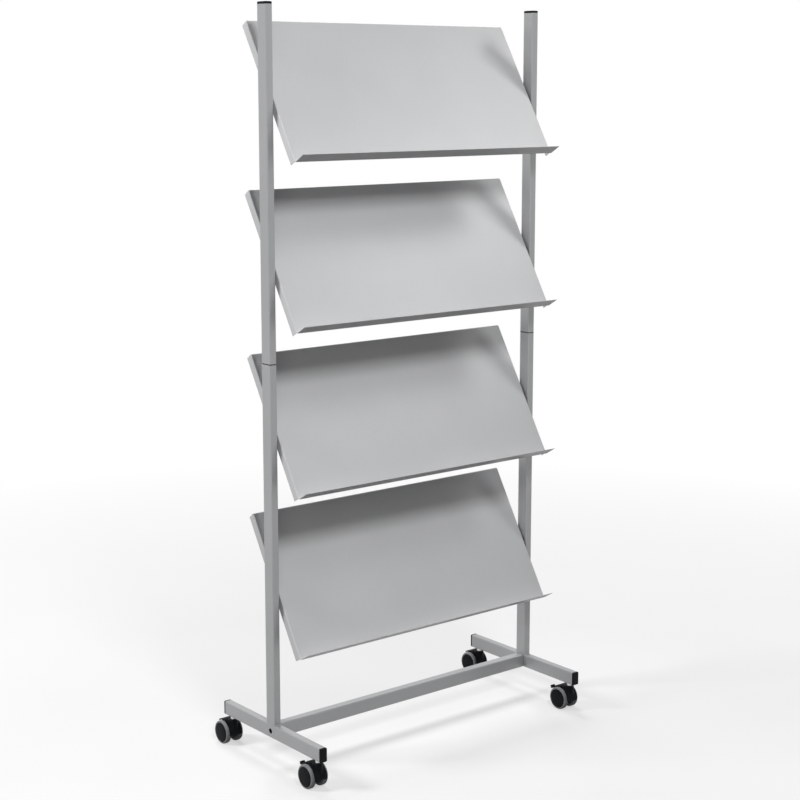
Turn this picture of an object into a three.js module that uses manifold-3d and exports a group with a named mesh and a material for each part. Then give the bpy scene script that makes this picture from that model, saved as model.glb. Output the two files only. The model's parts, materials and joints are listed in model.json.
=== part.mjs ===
// Mobile periodical display rack: two tube posts on two feet, four tilting sheet shelves, four casters.
// Millimetres. +X is the rack's right, -Y its front, +Z up. The floor is z = 0.
import * as THREE from 'three';
import { mergeVertices } from 'three/addons/utils/BufferGeometryUtils.js';
import Module from 'manifold-3d';

// Clearances
const FIT = 0.3; // between a piece and the neighbour that it seats on, fits into or turns about
const WHEEL_SIDE_PLAY = 1; // between a wheel and the web of its caster

// Rectangular tube of the posts and feet
const TUBE_NARROW = 20;
const TUBE_DEEP = 35;
const TUBE_WALL = 1.5;
const TUBE_CORNER = 2.5;

// Frame
const POST_PITCH = 844; // between the middles of the two posts
const POST_ABOVE_PIVOT = 218; // from the top shelf's pivot up to the tube's end
const JOINT_BELOW_PIVOT = 227; // from the second shelf's pivot down to the joint in a post
const JOINER_LENGTH = 120;
const JOINER_RIM = 1.5; // thickness of the rim that shows between the two halves of a post
const FOOT_LENGTH = 408;
const CROSSBAR_DEEP = 25;
const CROSSBAR_TALL = 35;
const CROSSBAR_END_PLATE = 4;
const CAP_HEAD = 6;
const CAP_PLUG = 14;
const CAP_PLUG_WALL = 2;

// Crossbar screw
const BAR_SCREW_SHANK = 8;
const BAR_SCREW_HEAD = 13;
const BAR_SCREW_HEAD_TALL = 8;
const BAR_SCREW_REACH = 14; // past the end of the crossbar
const SCREW_CHAMFER = 0.8; // round the edge of every screw's head

// Shelves
const SHELF_COUNT = 4;
const SHELF_PITCH = 400;
const TOP_PIVOT_HEIGHT = 1640;
const SHELF_TILT = 31; // degrees back from upright
const SHELF_SIDE_GAP = 4; // between a shelf and a post
const SHEET = 1.2;
const BEND = 1.5; // inner radius of a bend
const PANEL_ABOVE_PIVOT = 209;
const PANEL_BELOW_PIVOT = 173;
const PIVOT_SETBACK = 10; // from the panel's face back to the pivot
const LIP = 36;
const SIDE_FLANGE = 20;
const TOP_FLANGE = 14;

// Shelf pivot
const PIVOT_SHANK = 6;
const PIVOT_HEAD = 11;
const PIVOT_HEAD_TALL = 3.3;
const PIVOT_REACH = 8; // past the inner face of the post
const SPACER_DIAMETER = 14;

// Casters
const STEM_INSET = 20; // from the end of a foot tube to the stem
const TRAIL = 20; // from the stem's axis back to the axle
const STEM_PIN = 10;
const STEM_PIN_LENGTH = 25;
const STEM_STUD_LENGTH = 22;
const COLLAR_DIAMETER = 13;
const COLLAR_TALL = 8;
const AXLE_DIAMETER = 8;
const WHEEL_DIAMETER = 60;
const TREAD_WIDTH = 13.5;
const TREAD_SHOULDER = 2.5;
const HUB_BULGE = 2.5; // how far the hub's cover stands out of the tread
const COVER_CROWN = 0.8; // how far the middle of that cover stands out of its edge
const COVER_INSET = 5; // from the tread in to the edge of that cover
const AXLE_COVER = 5; // hub material past the end of the axle
const WEB_WIDTH = 20;
const WEB_BOSS = 34; // diameter of the web round the axle
const HOOD_WIDTH = 36;
const HOOD_WALL = 3.2;
const HOOD_GAP = 1.3; // between tread and hood
const HOOD_REAR = 55; // degrees up from the rear, about the axle
const HOOD_FRONT = 185;
const NECK_DIAMETER = 26;
const NECK_RISE = 2.2; // above the top of the hood

// Brake lever of a front caster
const KNUCKLE_DIAMETER = 7.2;
const KNUCKLE_INSET = 2.5; // from the tread's radius in to the knuckle's axis
const KNUCKLE_ANGLE = 64; // degrees up from the rear, about the axle
const LEVER_SLOT_GAP = 0.9; // round the knuckle
const TRUNNION_DIAMETER = 3.4;
const TRUNNION_LENGTH = 2.5;
const LEVER_WIDTH = 12;
const LEVER_LENGTH = 34.5; // from the knuckle's axis
const LEVER_THICK = 4;
const LEVER_DROP = 17; // degrees below level when lifted
const LEVER_TRAVEL = 15; // degrees down from there
const PEDAL_LENGTH = 6; // of the thick end under a foot
const PEDAL_TALL = 8;
const PEDAL_LIFT = 1.5; // of its middle above the middle of the tab

// Facets of round pieces
const WHEEL_SIDES = 24;
const PIN_SIDES = 12;
const HOLE_SIDES = 12;
const CORNER_STEPS = 3;
const HOOD_STEPS = 14;

// Helpers for cutting
const CUTTER_LENGTH = 3; // of a hole's cutter, in thicknesses of the wall that it goes through
const MERGE_DISTANCE = 1e-4;
const FULL_TURN = 360;

// Worked-out sizes and places
const WHEEL_RADIUS = WHEEL_DIAMETER / 2;
const HOOD_INNER_RADIUS = WHEEL_RADIUS + HOOD_GAP;
const HOOD_RADIUS = HOOD_INNER_RADIUS + HOOD_WALL;
const NECK_TOP = WHEEL_RADIUS + HOOD_RADIUS + NECK_RISE;
const FOOT_CLEARANCE = NECK_TOP + FIT + COLLAR_TALL;
const FOOT_MIDDLE = FOOT_CLEARANCE + TUBE_DEEP / 2;
const FOOT_TOP = FOOT_CLEARANCE + TUBE_DEEP;
const JOINT_HEIGHT = TOP_PIVOT_HEIGHT - SHELF_PITCH - JOINT_BELOW_PIVOT;
const POST_TOP = TOP_PIVOT_HEIGHT + POST_ABOVE_PIVOT;
const POST_X = POST_PITCH / 2;
const POST_INNER_X = POST_X - TUBE_NARROW / 2;
const SHELF_HALF_WIDTH = POST_INNER_X - SHELF_SIDE_GAP;
const STEM_Y = FOOT_LENGTH / 2 - STEM_INSET;
const WHEEL_INNER_X = WEB_WIDTH / 2 + WHEEL_SIDE_PLAY;
const AXLE_LENGTH = 2 * (WHEEL_INNER_X + TREAD_WIDTH + HUB_BULGE - AXLE_COVER - FIT);
// A wheel stands on a facet, so its corners lie a little outside its nominal radius.
const WHEEL_CORNER = WHEEL_RADIUS / Math.cos(Math.PI / WHEEL_SIDES);
const REAR_REACH = STEM_Y + TRAIL + WHEEL_RADIUS;
const FRONT_REACH = FOOT_LENGTH / 2 + CAP_HEAD;

const wasm = await Module();
wasm.setup();

// Finishes
const FINISHES = {
  coat: { color: 0x9d9fa1, roughness: 0.5, metalness: 0.35 },
  shelfCoat: { color: 0xbdbfc1, roughness: 0.45, metalness: 0.1 },
  plastic: { color: 0x1c1d1f, roughness: 0.55, metalness: 0 },
  wheel: { color: 0x3a3b3d, roughness: 0.6, metalness: 0 },
  zinc: { color: 0xc4c6c8, roughness: 0.35, metalness: 1 },
  nylon: { color: 0x2a2b2d, roughness: 0.6, metalness: 0 },
};

// Solids

const radians = (degrees) => THREE.MathUtils.degToRad(degrees);

// A geometry as a solid, with shared corners merged and slivers on a turning axis left out.
function solid(geometry) {
  const bare = geometry.clone();
  bare.deleteAttribute('normal');
  bare.deleteAttribute('uv');
  const merged = mergeVertices(bare, MERGE_DISTANCE);
  const corners = [];
  const index = merged.index.array;
  for (let i = 0; i < index.length; i += 3) {
    const [a, b, c] = [index[i], index[i + 1], index[i + 2]];
    if (a !== b && b !== c && c !== a) corners.push(a, b, c);
  }
  return new wasm.Manifold(new wasm.Mesh({
    numProp: 3,
    vertProperties: Float32Array.from(merged.attributes.position.array),
    triVerts: Uint32Array.from(corners),
  }));
}

function geometryOf(body) {
  const mesh = body.getMesh();
  const geometry = new THREE.BufferGeometry();
  geometry.setAttribute('position', new THREE.BufferAttribute(mesh.vertProperties, 3));
  geometry.setIndex(new THREE.BufferAttribute(mesh.triVerts, 1));
  geometry.computeVertexNormals();
  return geometry;
}

const join = (...bodies) => bodies.reduce((whole, body) => whole.add(body));
const cut = (body, ...tools) => tools.reduce((rest, tool) => rest.subtract(tool), body);

// Shapes

// Points of an arc, both ends included.
function arc(x, y, radius, from, to, steps) {
  return Array.from({ length: steps + 1 }, (_, i) => {
    const angle = radians(from + ((to - from) * i) / steps);
    return new THREE.Vector2(x + radius * Math.cos(angle), y + radius * Math.sin(angle));
  });
}

function roundedRectangle(width, height, radius) {
  const x = width / 2 - radius;
  const y = height / 2 - radius;
  const corners = [[x, y], [-x, y], [-x, -y], [x, -y]];
  const quarter = FULL_TURN / corners.length;
  return corners.flatMap(([cornerX, cornerY], i) => (
    arc(cornerX, cornerY, radius, i * quarter, (i + 1) * quarter, CORNER_STEPS)));
}

// An outline, with an optional hole, pushed out by a length along +Z.
function prism(outline, length, hole) {
  const shape = new THREE.Shape(outline);
  if (hole) shape.holes.push(new THREE.Path(hole));
  return new THREE.ExtrudeGeometry(shape, { depth: length, bevelEnabled: false });
}

function tube(width, height, wall, corner, length) {
  const inner = roundedRectangle(width - 2 * wall, height - 2 * wall, corner - wall);
  return prism(roundedRectangle(width, height, corner), length, inner);
}

// An outline of (y, z) points pushed out evenly both ways along X.
const acrossX = (outline, width) => prism(outline, width)
  .translate(0, 0, -width / 2)
  .rotateZ(Math.PI / 2)
  .rotateY(Math.PI / 2);

// A round rod centred on its own middle, lying along X, Y or Z.
function rod(diameter, length, axis, sides = HOLE_SIDES) {
  const geometry = new THREE.CylinderGeometry(diameter / 2, diameter / 2, length, sides);
  if (axis === 'x') geometry.rotateZ(Math.PI / 2);
  if (axis === 'z') geometry.rotateX(Math.PI / 2);
  return geometry;
}

// A turned piece from (radius, height) points, its axis along +Y.
const turned = (points, sides, start = 0) => new THREE.LatheGeometry(
  points.map(([radius, height]) => new THREE.Vector2(radius, height)), sides, start);

// Outline of a strip of even thickness along a path of points, its corners bent round.
function foldedStrip(path, thickness, bendRadius) {
  const half = thickness / 2;
  const middleRadius = bendRadius + half;
  const leftSide = [];
  const rightSide = [];
  const put = (point, normal) => {
    leftSide.push(point.clone().addScaledVector(normal, half));
    rightSide.push(point.clone().addScaledVector(normal, -half));
  };
  const leftOf = (direction) => new THREE.Vector2(-direction.y, direction.x);
  const steps = path.slice(1).map((point, i) => point.clone().sub(path[i]).normalize());
  put(path[0], leftOf(steps[0]));
  for (let i = 1; i < steps.length; i += 1) {
    const turn = Math.atan2(steps[i - 1].cross(steps[i]), steps[i - 1].dot(steps[i]));
    const side = Math.sign(turn);
    const tangent = middleRadius * Math.tan(Math.abs(turn) / 2);
    const start = path[i].clone().addScaledVector(steps[i - 1], -tangent);
    const centre = start.clone().addScaledVector(leftOf(steps[i - 1]), side * middleRadius);
    for (let k = 0; k <= CORNER_STEPS; k += 1) {
      const normal = leftOf(steps[i - 1]).rotateAround(new THREE.Vector2(), (turn * k) / CORNER_STEPS);
      put(centre.clone().addScaledVector(normal, -side * middleRadius), normal);
    }
  }
  put(path[path.length - 1], leftOf(steps[steps.length - 1]));
  return [...leftSide, ...rightSide.reverse()];
}

// Scene

const rack = new THREE.Group();
// The origin is the middle of the footprint, and the rear casters reach further than the front ones.
rack.position.y = (FRONT_REACH - REAR_REACH) / 2;

function place(parent, name, geometry, finish, position = [0, 0, 0], rotation = [0, 0, 0]) {
  const mesh = new THREE.Mesh(geometry, new THREE.MeshStandardMaterial(FINISHES[finish]));
  mesh.name = name;
  mesh.position.set(...position);
  mesh.rotation.set(...rotation);
  parent.add(mesh);
}

const SIDES = [['left', -1], ['right', 1]];
const ENDS = [['front', -1], ['rear', 1]];
const pivotHeight = (shelf) => TOP_PIVOT_HEIGHT - SHELF_PITCH * (shelf - 1);
const shelves = Array.from({ length: SHELF_COUNT }, (_, i) => i + 1);

// Frame

// A foot with holes for its caster stems, the crossbar screw's shank and, outside, its head.
function foot(side) {
  const body = solid(tube(TUBE_NARROW, TUBE_DEEP, TUBE_WALL, TUBE_CORNER, FOOT_LENGTH)
    .rotateX(Math.PI / 2)
    .translate(0, FOOT_LENGTH / 2, 0));
  const wallX = (TUBE_NARROW - TUBE_WALL) / 2;
  const wallHole = CUTTER_LENGTH * TUBE_WALL;
  const stemHoles = ENDS.map(([, end]) => solid(rod(STEM_PIN + 2 * FIT, wallHole, 'z')
    .translate(0, end * STEM_Y, -(TUBE_DEEP - TUBE_WALL) / 2)));
  const shankHole = solid(rod(BAR_SCREW_SHANK + 2 * FIT, wallHole, 'x').translate(-side * wallX, 0, 0));
  const headHole = solid(rod(BAR_SCREW_HEAD + 2 * FIT, wallHole, 'x').translate(side * wallX, 0, 0));
  return geometryOf(cut(body, ...stemHoles, shankHole, headHole));
}

// A length of post with a hole in its inner wall for each shelf pivot within it.
function post(side, bottom, top) {
  const length = top - bottom;
  const body = solid(tube(TUBE_NARROW, TUBE_DEEP, TUBE_WALL, TUBE_CORNER, length));
  const wallX = (TUBE_NARROW - TUBE_WALL) / 2;
  const hole = rod(PIVOT_SHANK + 2 * FIT, CUTTER_LENGTH * TUBE_WALL, 'x');
  const holes = shelves
    .map((shelf) => pivotHeight(shelf) - bottom)
    .filter((height) => height > 0 && height < length)
    .map((height) => solid(hole.clone().translate(-side * wallX, 0, height)));
  return geometryOf(cut(body, ...holes));
}

const boreNarrow = TUBE_NARROW - 2 * TUBE_WALL - 2 * FIT;
const boreDeep = TUBE_DEEP - 2 * TUBE_WALL - 2 * FIT;
const boreCorner = TUBE_CORNER - TUBE_WALL;

// Sleeve that fits inside both halves of a post, with a rim between their ends. The rim stands on z = 0.
function joiner() {
  const sleeve = tube(boreNarrow, boreDeep, TUBE_WALL, boreCorner + TUBE_WALL, JOINER_LENGTH);
  const hollow = roundedRectangle(boreNarrow - TUBE_WALL, boreDeep - TUBE_WALL, boreCorner);
  const rim = prism(roundedRectangle(TUBE_NARROW, TUBE_DEEP, TUBE_CORNER), JOINER_RIM, hollow);
  return geometryOf(join(solid(rim), solid(sleeve.translate(0, 0, (JOINER_RIM - JOINER_LENGTH) / 2))));
}

// Plug with a head that covers the tube's end: the head lies above z = 0 and the plug below.
function endCap() {
  const head = solid(prism(roundedRectangle(TUBE_NARROW, TUBE_DEEP, TUBE_CORNER), CAP_HEAD));
  const hollow = roundedRectangle(boreNarrow - 2 * CAP_PLUG_WALL, boreDeep - 2 * CAP_PLUG_WALL, boreCorner);
  const plug = prism(roundedRectangle(boreNarrow, boreDeep, boreCorner), CAP_PLUG + CAP_HEAD / 2, hollow);
  return geometryOf(join(head, solid(plug.translate(0, 0, -CAP_PLUG))));
}

// The crossbar is a tube closed by welded end plates, each with a hole for its screw.
function crossbar() {
  const length = 2 * POST_INNER_X;
  const outline = roundedRectangle(CROSSBAR_TALL, CROSSBAR_DEEP, TUBE_CORNER);
  const shell = solid(tube(CROSSBAR_TALL, CROSSBAR_DEEP, TUBE_WALL, TUBE_CORNER, length));
  const plates = [0, length - CROSSBAR_END_PLATE]
    .map((start) => solid(prism(outline, CROSSBAR_END_PLATE).translate(0, 0, start)));
  const bore = solid(rod(BAR_SCREW_SHANK + 2 * FIT, 2 * length, 'z'));
  return geometryOf(cut(join(shell, ...plates), bore))
    .translate(0, 0, -length / 2)
    .rotateY(Math.PI / 2);
}

// A round-headed screw along +Y: its head lies below y = 0 and its shank above.
const screw = (shank, head, headTall, length) => turned([
  [0, -headTall],
  [head / 2 - SCREW_CHAMFER, -headTall],
  [head / 2, SCREW_CHAMFER - headTall],
  [head / 2, 0],
  [shank / 2, 0],
  [shank / 2, length],
  [0, length],
], PIN_SIDES);

for (const [name, side] of SIDES) {
  const x = side * POST_X;
  const turnOut = (side * -Math.PI) / 2;
  place(rack, `${name}_foot_tube`, foot(side), 'coat', [x, 0, FOOT_MIDDLE]);
  place(rack, `${name}_lower_post`, post(side, FOOT_TOP, JOINT_HEIGHT), 'coat', [x, 0, FOOT_TOP]);
  const rim = JOINT_HEIGHT + FIT;
  const upper = rim + JOINER_RIM + FIT;
  place(rack, `${name}_upper_post`, post(side, upper, POST_TOP), 'coat', [x, 0, upper]);
  place(rack, `${name}_post_joiner`, joiner(), 'plastic', [x, 0, rim]);
  place(rack, `${name}_post_cap`, endCap(), 'plastic', [x, 0, POST_TOP]);
  for (const [end, sign] of ENDS) {
    const turn = (sign * -Math.PI) / 2;
    const y = (sign * FOOT_LENGTH) / 2;
    place(rack, `${end}_${name}_foot_cap`, endCap(), 'plastic', [x, y, FOOT_MIDDLE], [turn, 0, 0]);
  }
  const length = TUBE_WALL + BAR_SCREW_REACH;
  const bearing = side * (POST_INNER_X + TUBE_WALL + FIT);
  const barScrew = screw(BAR_SCREW_SHANK, BAR_SCREW_HEAD, BAR_SCREW_HEAD_TALL, length);
  const spot = [bearing, 0, FOOT_MIDDLE];
  place(rack, `${name}_crossbar_screw`, geometryOf(solid(barScrew)), 'zinc', spot, [0, 0, -turnOut]);
}
place(rack, 'crossbar', crossbar(), 'coat', [0, 0, FOOT_MIDDLE]);

// Shelves

// One folded sheet about its pivot: the panel stands along +Z and faces -Y.
function shelf() {
  const middle = SHEET / 2;
  const panelY = -PIVOT_SETBACK + middle;
  const lipZ = -PANEL_BELOW_PIVOT + middle;
  const topZ = PANEL_ABOVE_PIVOT - middle;
  const path = [
    new THREE.Vector2(-PIVOT_SETBACK - LIP, lipZ),
    new THREE.Vector2(panelY, lipZ),
    new THREE.Vector2(panelY, topZ),
    new THREE.Vector2(-PIVOT_SETBACK + TOP_FLANGE, topZ),
  ];
  const sheet = solid(acrossX(foldedStrip(path, SHEET, BEND), 2 * SHELF_HALF_WIDTH));
  const bendDepth = BEND + SHEET;
  const flangeTall = PANEL_ABOVE_PIVOT + PANEL_BELOW_PIVOT - 2 * bendDepth;
  const flangeZ = (PANEL_ABOVE_PIVOT - PANEL_BELOW_PIVOT) / 2;
  const flangeY = -PIVOT_SETBACK + SIDE_FLANGE / 2;
  const flanges = SIDES.map(([, side]) => solid(new THREE.BoxGeometry(SHEET, SIDE_FLANGE, flangeTall)
    .translate(side * (SHELF_HALF_WIDTH - middle), flangeY, flangeZ)));
  const bores = SIDES.map(([, side]) => solid(rod(PIVOT_SHANK + 2 * FIT, CUTTER_LENGTH * SHEET, 'x')
    .translate(side * (SHELF_HALF_WIDTH - middle), 0, 0)));
  return geometryOf(cut(join(sheet, ...flanges), ...bores));
}

function spacer() {
  const thickness = SHELF_SIDE_GAP - 2 * FIT;
  const bore = PIVOT_SHANK / 2 + FIT;
  return turned([
    [bore, 0],
    [SPACER_DIAMETER / 2, 0],
    [SPACER_DIAMETER / 2, thickness],
    [bore, thickness],
    [bore, 0],
  ], PIN_SIDES);
}

for (const number of shelves) {
  const height = pivotHeight(number);
  place(rack, `shelf_${number}`, shelf(), 'shelfCoat', [0, 0, height], [radians(-SHELF_TILT), 0, 0]);
  for (const [name, side] of SIDES) {
    const turnOut = [0, 0, (side * -Math.PI) / 2];
    const headX = side * (SHELF_HALF_WIDTH - SHEET - FIT);
    const length = SHEET + FIT + SHELF_SIDE_GAP + PIVOT_REACH;
    const pivot = geometryOf(solid(screw(PIVOT_SHANK, PIVOT_HEAD, PIVOT_HEAD_TALL, length)));
    place(rack, `shelf_${number}_${name}_pivot_screw`, pivot, 'zinc', [headX, 0, height], turnOut);
    const washer = geometryOf(solid(spacer()));
    const washerX = side * (SHELF_HALF_WIDTH + FIT);
    place(rack, `shelf_${number}_${name}_pivot_spacer`, washer, 'nylon', [washerX, 0, height], turnOut);
  }
}

// Casters, each about its stem's axis on the floor, with the wheels trailing behind

// A point about the axle, by radius and degrees up from the rear, as (y, z).
function aboutAxle(radius, degrees) {
  const angle = radians(degrees);
  return new THREE.Vector2(TRAIL + radius * Math.cos(angle), WHEEL_RADIUS + radius * Math.sin(angle));
}

const knucklePlace = aboutAxle(WHEEL_RADIUS - KNUCKLE_INSET, KNUCKLE_ANGLE);

// Hood, web and swivel socket in one moulding, with a slot in the web for a lever.
function casterHousing(braked) {
  const axleAt = (geometry) => geometry.translate(0, TRAIL, WHEEL_RADIUS);
  const hoodArc = arc(TRAIL, WHEEL_RADIUS, HOOD_RADIUS, HOOD_REAR, HOOD_FRONT, HOOD_STEPS);
  const hood = solid(acrossX([...hoodArc, aboutAxle(0, 0)], HOOD_WIDTH));
  const neckBottom = WHEEL_RADIUS;
  const neck = solid(rod(NECK_DIAMETER, NECK_TOP - neckBottom, 'z', WHEEL_SIDES)
    .translate(0, 0, (NECK_TOP + neckBottom) / 2));
  const wheelSpace = solid(axleAt(rod(2 * HOOD_INNER_RADIUS, 2 * HOOD_WIDTH, 'x', WHEEL_SIDES)));
  const webRadius = HOOD_RADIUS - HOOD_WALL / 2;
  const webOutline = [
    ...arc(TRAIL, WHEEL_RADIUS, webRadius, HOOD_REAR, HOOD_FRONT, HOOD_STEPS),
    ...arc(TRAIL, WHEEL_RADIUS, WEB_BOSS / 2, HOOD_FRONT, HOOD_REAR + FULL_TURN, HOOD_STEPS),
  ];
  const web = solid(acrossX(webOutline, WEB_WIDTH));
  const axleBore = solid(axleAt(rod(AXLE_DIAMETER + 2 * FIT, 2 * WEB_WIDTH, 'x')));
  const boreDepth = STEM_PIN_LENGTH + FIT;
  const stemBore = solid(rod(STEM_PIN + 2 * FIT, 2 * boreDepth, 'z').translate(0, 0, NECK_TOP));
  const moulding = cut(join(cut(join(hood, neck), wheelSpace), web), axleBore, stemBore);
  if (!braked) return geometryOf(moulding);
  const atKnuckle = (geometry) => solid(geometry.translate(0, knucklePlace.x, knucklePlace.y));
  const slotWidth = LEVER_WIDTH + 2 * FIT;
  const slotTall = KNUCKLE_DIAMETER + 2 * LEVER_SLOT_GAP;
  const knuckleSpace = atKnuckle(rod(slotTall, slotWidth, 'x'));
  const tabSpace = atKnuckle(new THREE.BoxGeometry(slotWidth, HOOD_RADIUS, slotTall)
    .translate(0, HOOD_RADIUS / 2, 0)
    .rotateX(radians(-LEVER_DROP - LEVER_TRAVEL / 2)));
  const trunnionBore = atKnuckle(rod(TRUNNION_DIAMETER + 2 * FIT, slotWidth + 2 * TRUNNION_LENGTH, 'x'));
  return geometryOf(cut(moulding, knuckleSpace, tabSpace, trunnionBore));
}

// Swivel pin, collar and threaded stud, turned about the stem's axis.
const casterStem = () => turned([
  [0, NECK_TOP - STEM_PIN_LENGTH],
  [STEM_PIN / 2, NECK_TOP - STEM_PIN_LENGTH],
  [STEM_PIN / 2, NECK_TOP + FIT],
  [COLLAR_DIAMETER / 2, NECK_TOP + FIT],
  [COLLAR_DIAMETER / 2, FOOT_CLEARANCE],
  [STEM_PIN / 2, FOOT_CLEARANCE],
  [STEM_PIN / 2, FOOT_CLEARANCE + STEM_STUD_LENGTH],
  [0, FOOT_CLEARANCE + STEM_STUD_LENGTH],
], PIN_SIDES).rotateX(Math.PI / 2);

// A wheel along +Y from its inner face: blind bore, tread and bulging cover.
function casterWheel() {
  const bore = AXLE_DIAMETER / 2 + FIT;
  const tread = WHEEL_CORNER;
  const coverTop = TREAD_WIDTH + HUB_BULGE;
  return turned([
    [0, coverTop - AXLE_COVER],
    [bore, coverTop - AXLE_COVER],
    [bore, 0],
    [tread - TREAD_SHOULDER, 0],
    [tread, TREAD_SHOULDER],
    [tread, TREAD_WIDTH - TREAD_SHOULDER],
    [tread - TREAD_SHOULDER, TREAD_WIDTH],
    [tread - COVER_INSET, coverTop - COVER_CROWN],
    [0, coverTop],
  ], WHEEL_SIDES, Math.PI / WHEEL_SIDES);
}

// Knuckle, trunnions, tab and pedal about the knuckle's axis, reaching out to the rear between the wheels.
function brakeLever() {
  const knuckle = solid(rod(KNUCKLE_DIAMETER, LEVER_WIDTH, 'x'));
  const trunnions = solid(rod(TRUNNION_DIAMETER, LEVER_WIDTH + 2 * TRUNNION_LENGTH, 'x'));
  const dropped = (geometry) => solid(geometry.rotateX(radians(-LEVER_DROP)));
  const tab = dropped(new THREE.BoxGeometry(LEVER_WIDTH, LEVER_LENGTH, LEVER_THICK)
    .translate(0, LEVER_LENGTH / 2, 0));
  const pedal = dropped(new THREE.BoxGeometry(LEVER_WIDTH, PEDAL_LENGTH, PEDAL_TALL)
    .translate(0, LEVER_LENGTH - PEDAL_LENGTH / 2, PEDAL_LIFT));
  return geometryOf(join(knuckle, trunnions, tab, pedal));
}

for (const [end, sign] of ENDS) {
  for (const [name, side] of SIDES) {
    const caster = new THREE.Group();
    caster.position.set(side * POST_X, sign * STEM_Y, 0);
    rack.add(caster);
    const braked = end === 'front';
    const label = `${end}_${name}_caster`;
    place(caster, `${label}_housing`, casterHousing(braked), 'plastic');
    place(caster, `${label}_stem`, geometryOf(solid(casterStem())), 'zinc');
    const axle = rod(AXLE_DIAMETER, AXLE_LENGTH, 'x', PIN_SIDES);
    place(caster, `${label}_axle`, geometryOf(solid(axle)), 'zinc', [0, TRAIL, WHEEL_RADIUS]);
    for (const [wheel, out] of [['outer', side], ['inner', -side]]) {
      const spot = [out * WHEEL_INNER_X, TRAIL, WHEEL_RADIUS];
      const turnOut = [0, 0, (out * -Math.PI) / 2];
      place(caster, `${label}_${wheel}_wheel`, geometryOf(solid(casterWheel())), 'wheel', spot, turnOut);
    }
    if (braked) {
      const spot = [0, knucklePlace.x, knucklePlace.y];
      place(caster, `${end}_${name}_brake_lever`, brakeLever(), 'plastic', spot);
    }
  }
}

export default rack;
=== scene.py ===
import json
from math import cos, pi, radians, sin

import bmesh
import bpy
from mathutils import Matrix, Vector


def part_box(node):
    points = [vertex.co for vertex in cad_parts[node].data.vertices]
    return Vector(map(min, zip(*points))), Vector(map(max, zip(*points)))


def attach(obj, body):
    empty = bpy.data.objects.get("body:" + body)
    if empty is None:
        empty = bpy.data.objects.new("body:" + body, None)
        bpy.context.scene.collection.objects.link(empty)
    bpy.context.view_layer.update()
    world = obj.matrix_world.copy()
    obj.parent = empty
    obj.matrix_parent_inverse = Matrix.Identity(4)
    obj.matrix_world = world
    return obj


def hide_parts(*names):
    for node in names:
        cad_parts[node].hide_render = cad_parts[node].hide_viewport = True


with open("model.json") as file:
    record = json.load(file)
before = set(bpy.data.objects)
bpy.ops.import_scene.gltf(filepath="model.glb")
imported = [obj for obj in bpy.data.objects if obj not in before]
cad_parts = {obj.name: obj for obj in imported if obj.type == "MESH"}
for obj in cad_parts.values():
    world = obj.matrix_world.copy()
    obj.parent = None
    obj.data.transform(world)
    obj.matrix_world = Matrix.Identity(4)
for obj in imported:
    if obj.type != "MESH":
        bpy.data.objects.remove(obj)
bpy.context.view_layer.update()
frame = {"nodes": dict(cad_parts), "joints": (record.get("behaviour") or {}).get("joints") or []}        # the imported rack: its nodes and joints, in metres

MM = 0.001

# Rectangular tube
TUBE_WALL = 1.5 * MM
TUBE_CORNER = 3 * MM
TUBE_END_ROUND = 0.6 * MM  # of a sawn end, under the coat
CORNER_STEPS = 6

# End caps, and the joiners in the posts
PLUG_INSET = 1.8 * MM  # from the tube's outside to what is plugged into it
CAP_PLUG = 14 * MM
CAP_ROUND = 2 * MM
CAP_CROWN = 0.4 * MM
JOINER_PLAY = 0.3 * MM  # between the rim and the tube's end
JOINER_EASE = 0.3 * MM

# Welds at the foot of a post
WELD_LEG = 3.2 * MM
WELD_PROUD = 0.05 * MM  # of a weld that is ground flush
WELD_RIPPLES = 6
WELD_RIPPLE_DEPTH = 0.12
WELD_STATIONS = 48
WELD_END = 0.35  # share of the leg that a fillet starts with
WELD_GROWTH = 6  # legs that it would gain over its whole length, up to one
WELD_SINK = 1 / 8  # share of a flush weld's length in which it sinks in at each end

# Folded shelf
SHELF_TILT = radians(31)
SHEET = 1.2 * MM
BEND = 1.5 * MM  # inner radius
PANEL_ABOVE_PIVOT = 209 * MM
PANEL_BELOW_PIVOT = 173 * MM
PIVOT_SETBACK = 10 * MM
LIP = 36 * MM
SIDE_FLANGE = 20 * MM
TOP_FLANGE = 14 * MM
BEND_STEPS = 6
SHEET_EDGE_ROUND = 0.3 * MM
SHEET_EDGE_STEPS = 2
SHEET_EDGE_LIMIT = radians(60)  # edges sharper than this are eased
PIVOT_HOLE = 6.6 * MM

# Screws and spacers
PIVOT_SHANK = 6 * MM
PIVOT_HEAD = 11 * MM
PIVOT_HEAD_TALL = 3.3 * MM
PIVOT_SOCKET = 4 * MM
BAR_SHANK = 8 * MM
BAR_HEAD = 13 * MM
BAR_HEAD_TALL = 8 * MM
BAR_SOCKET = 6 * MM
BAR_HEAD_HOLE = 13.6 * MM
HEAD_ROUND = 0.8 * MM
SOCKET_DEPTH = 0.55  # share of the head's height
SOCKET_EASE = 0.3 * MM
SPACER_CHAMFER = 0.5 * MM
ROUND_SIDES = 48
SCREW_SIDES = 36

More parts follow.
